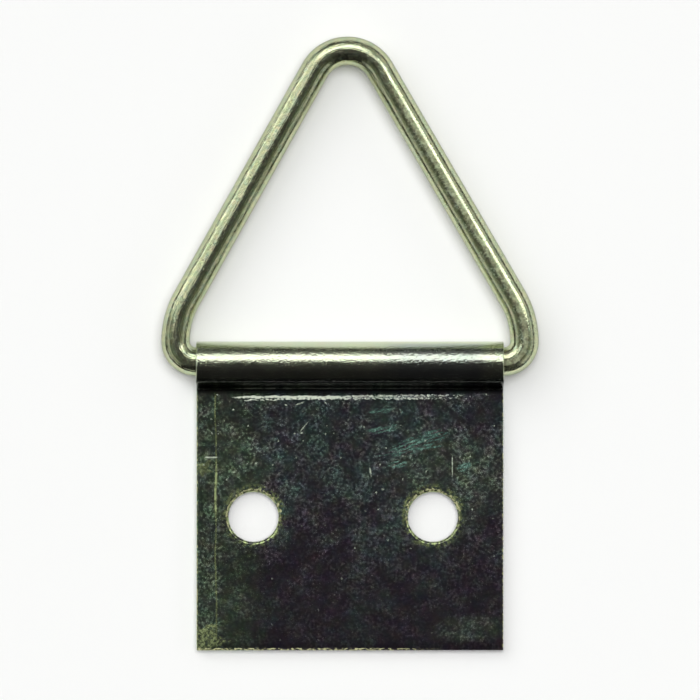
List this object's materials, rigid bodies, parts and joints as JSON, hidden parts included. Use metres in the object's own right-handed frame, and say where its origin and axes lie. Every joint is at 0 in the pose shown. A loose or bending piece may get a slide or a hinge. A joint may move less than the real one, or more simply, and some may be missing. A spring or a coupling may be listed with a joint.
{
  "type": "hinged picture hanger",
  "caption": "Square folded sheet-metal strap with screw holes, and a triangular wire ring that swings in the sleeve rolled along its top edge.",
  "frame": {"origin": "on the strap's back face, on its centre line, level with the two screw holes", "axes": "+Z out of the strap's front, +Y from the screw holes towards the ring, +X along the hinge to the right seen from the front"},
  "size_m": [0.0308, 0.05, 0.0039],
  "materials": {
    "plated_strap": "bright plated sheet, lightly scratched, worn along the crease and the hole rims",
    "plated_wire": "bright plated drawn wire"
  },
  "bodies": {
    "strap": {"strap_plate": "plated_strap"},
    "ring": {"triangle_ring": "plated_wire"}
  },
  "joints": [
    {"name": "ring_swing", "type": "hinge", "parent": "strap", "child": "ring", "pos_m": [0, 0.01266, 0.00195], "axis": [1, 0, 0], "range_deg": [-1.7, 178]}
  ]
}
